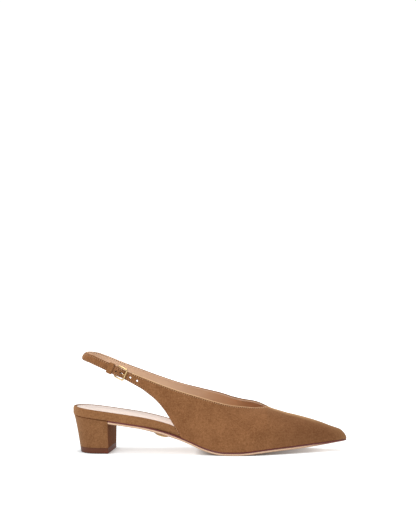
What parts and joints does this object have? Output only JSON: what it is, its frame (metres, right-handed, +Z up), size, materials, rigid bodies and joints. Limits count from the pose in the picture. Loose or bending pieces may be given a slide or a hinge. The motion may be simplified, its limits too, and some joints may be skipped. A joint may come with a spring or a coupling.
{
  "type": "slingback pump",
  "caption": "Right slingback pump in tan suede with a pointed toe, V throat, open waist, buckled heel strap and low block heel.",
  "frame": {"origin": "middle of the heel's tread, on the floor", "axes": "+X towards the toe, +Y towards the inner side of the foot, +Z up"},
  "size_m": [0.2644, 0.0785, 0.0963],
  "materials": {
    "tan_suede": "napped suede",
    "pale_sock_leather": "smooth matt",
    "natural_sole_leather": "smooth semi-matt",
    "burgundy_edge": "painted edge",
    "brown_top_piece": "satin",
    "pale_gold": "polished plate"
  },
  "bodies": {
    "root": {"outsole": "natural_sole_leather", "sole_rand": "burgundy_edge", "heel_block": "tan_suede", "top_piece": "brown_top_piece", "insole_board": "tan_suede", "sock_lining": "pale_sock_leather", "upper": "tan_suede", "sling_strap": "tan_suede", "keeper_loop": "tan_suede", "buckle_frame": "pale_gold", "buckle_prong": "pale_gold", "waist_stud": "pale_gold"}
  },
  "joints": []
}
